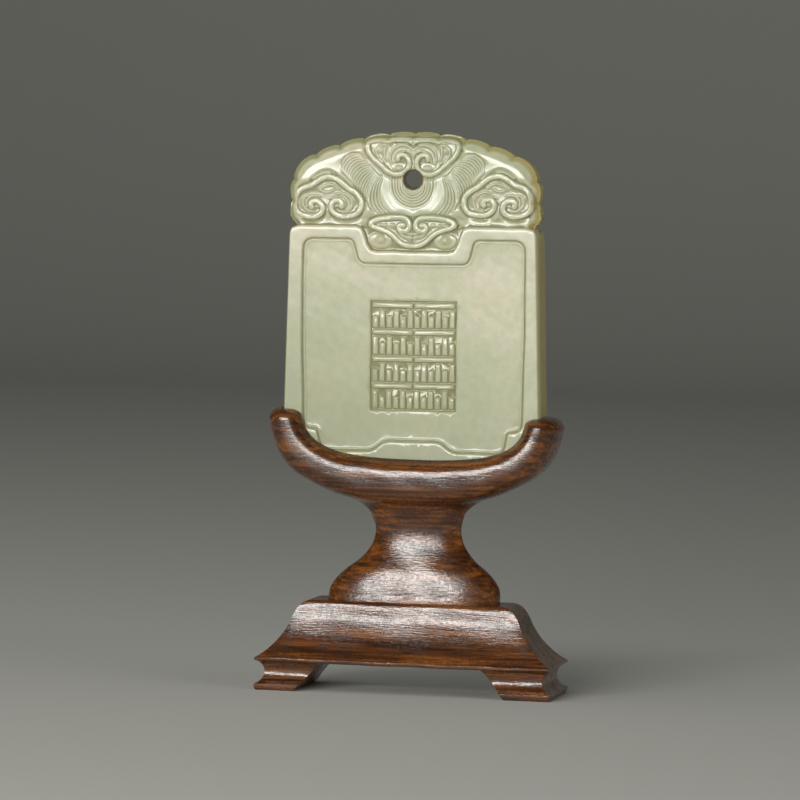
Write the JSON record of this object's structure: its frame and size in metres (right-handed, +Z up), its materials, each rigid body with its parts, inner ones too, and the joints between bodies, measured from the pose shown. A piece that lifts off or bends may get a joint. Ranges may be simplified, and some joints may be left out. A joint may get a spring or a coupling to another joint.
{
  "type": "jade plaque on a wooden stand",
  "caption": "Flat carved jade plaque with a scalloped crown and a hanging hole, standing upright in the groove of a waisted wooden stand on bracket feet.",
  "frame": {"origin": "on the table, under the middle of the base", "axes": "+Z up, +X to the right seen from the carved front, +Y from the front to the back"},
  "size_m": [0.054, 0.017, 0.1005],
  "materials": {
    "jade": "polished pale green nephrite, slightly translucent",
    "stand_wood": "dark red-brown rosewood, waxed to a soft gloss"
  },
  "bodies": {
    "root": {"jade_plaque": "jade", "cradle_stem": "stand_wood", "footed_base": "stand_wood"}
  },
  "joints": []
}
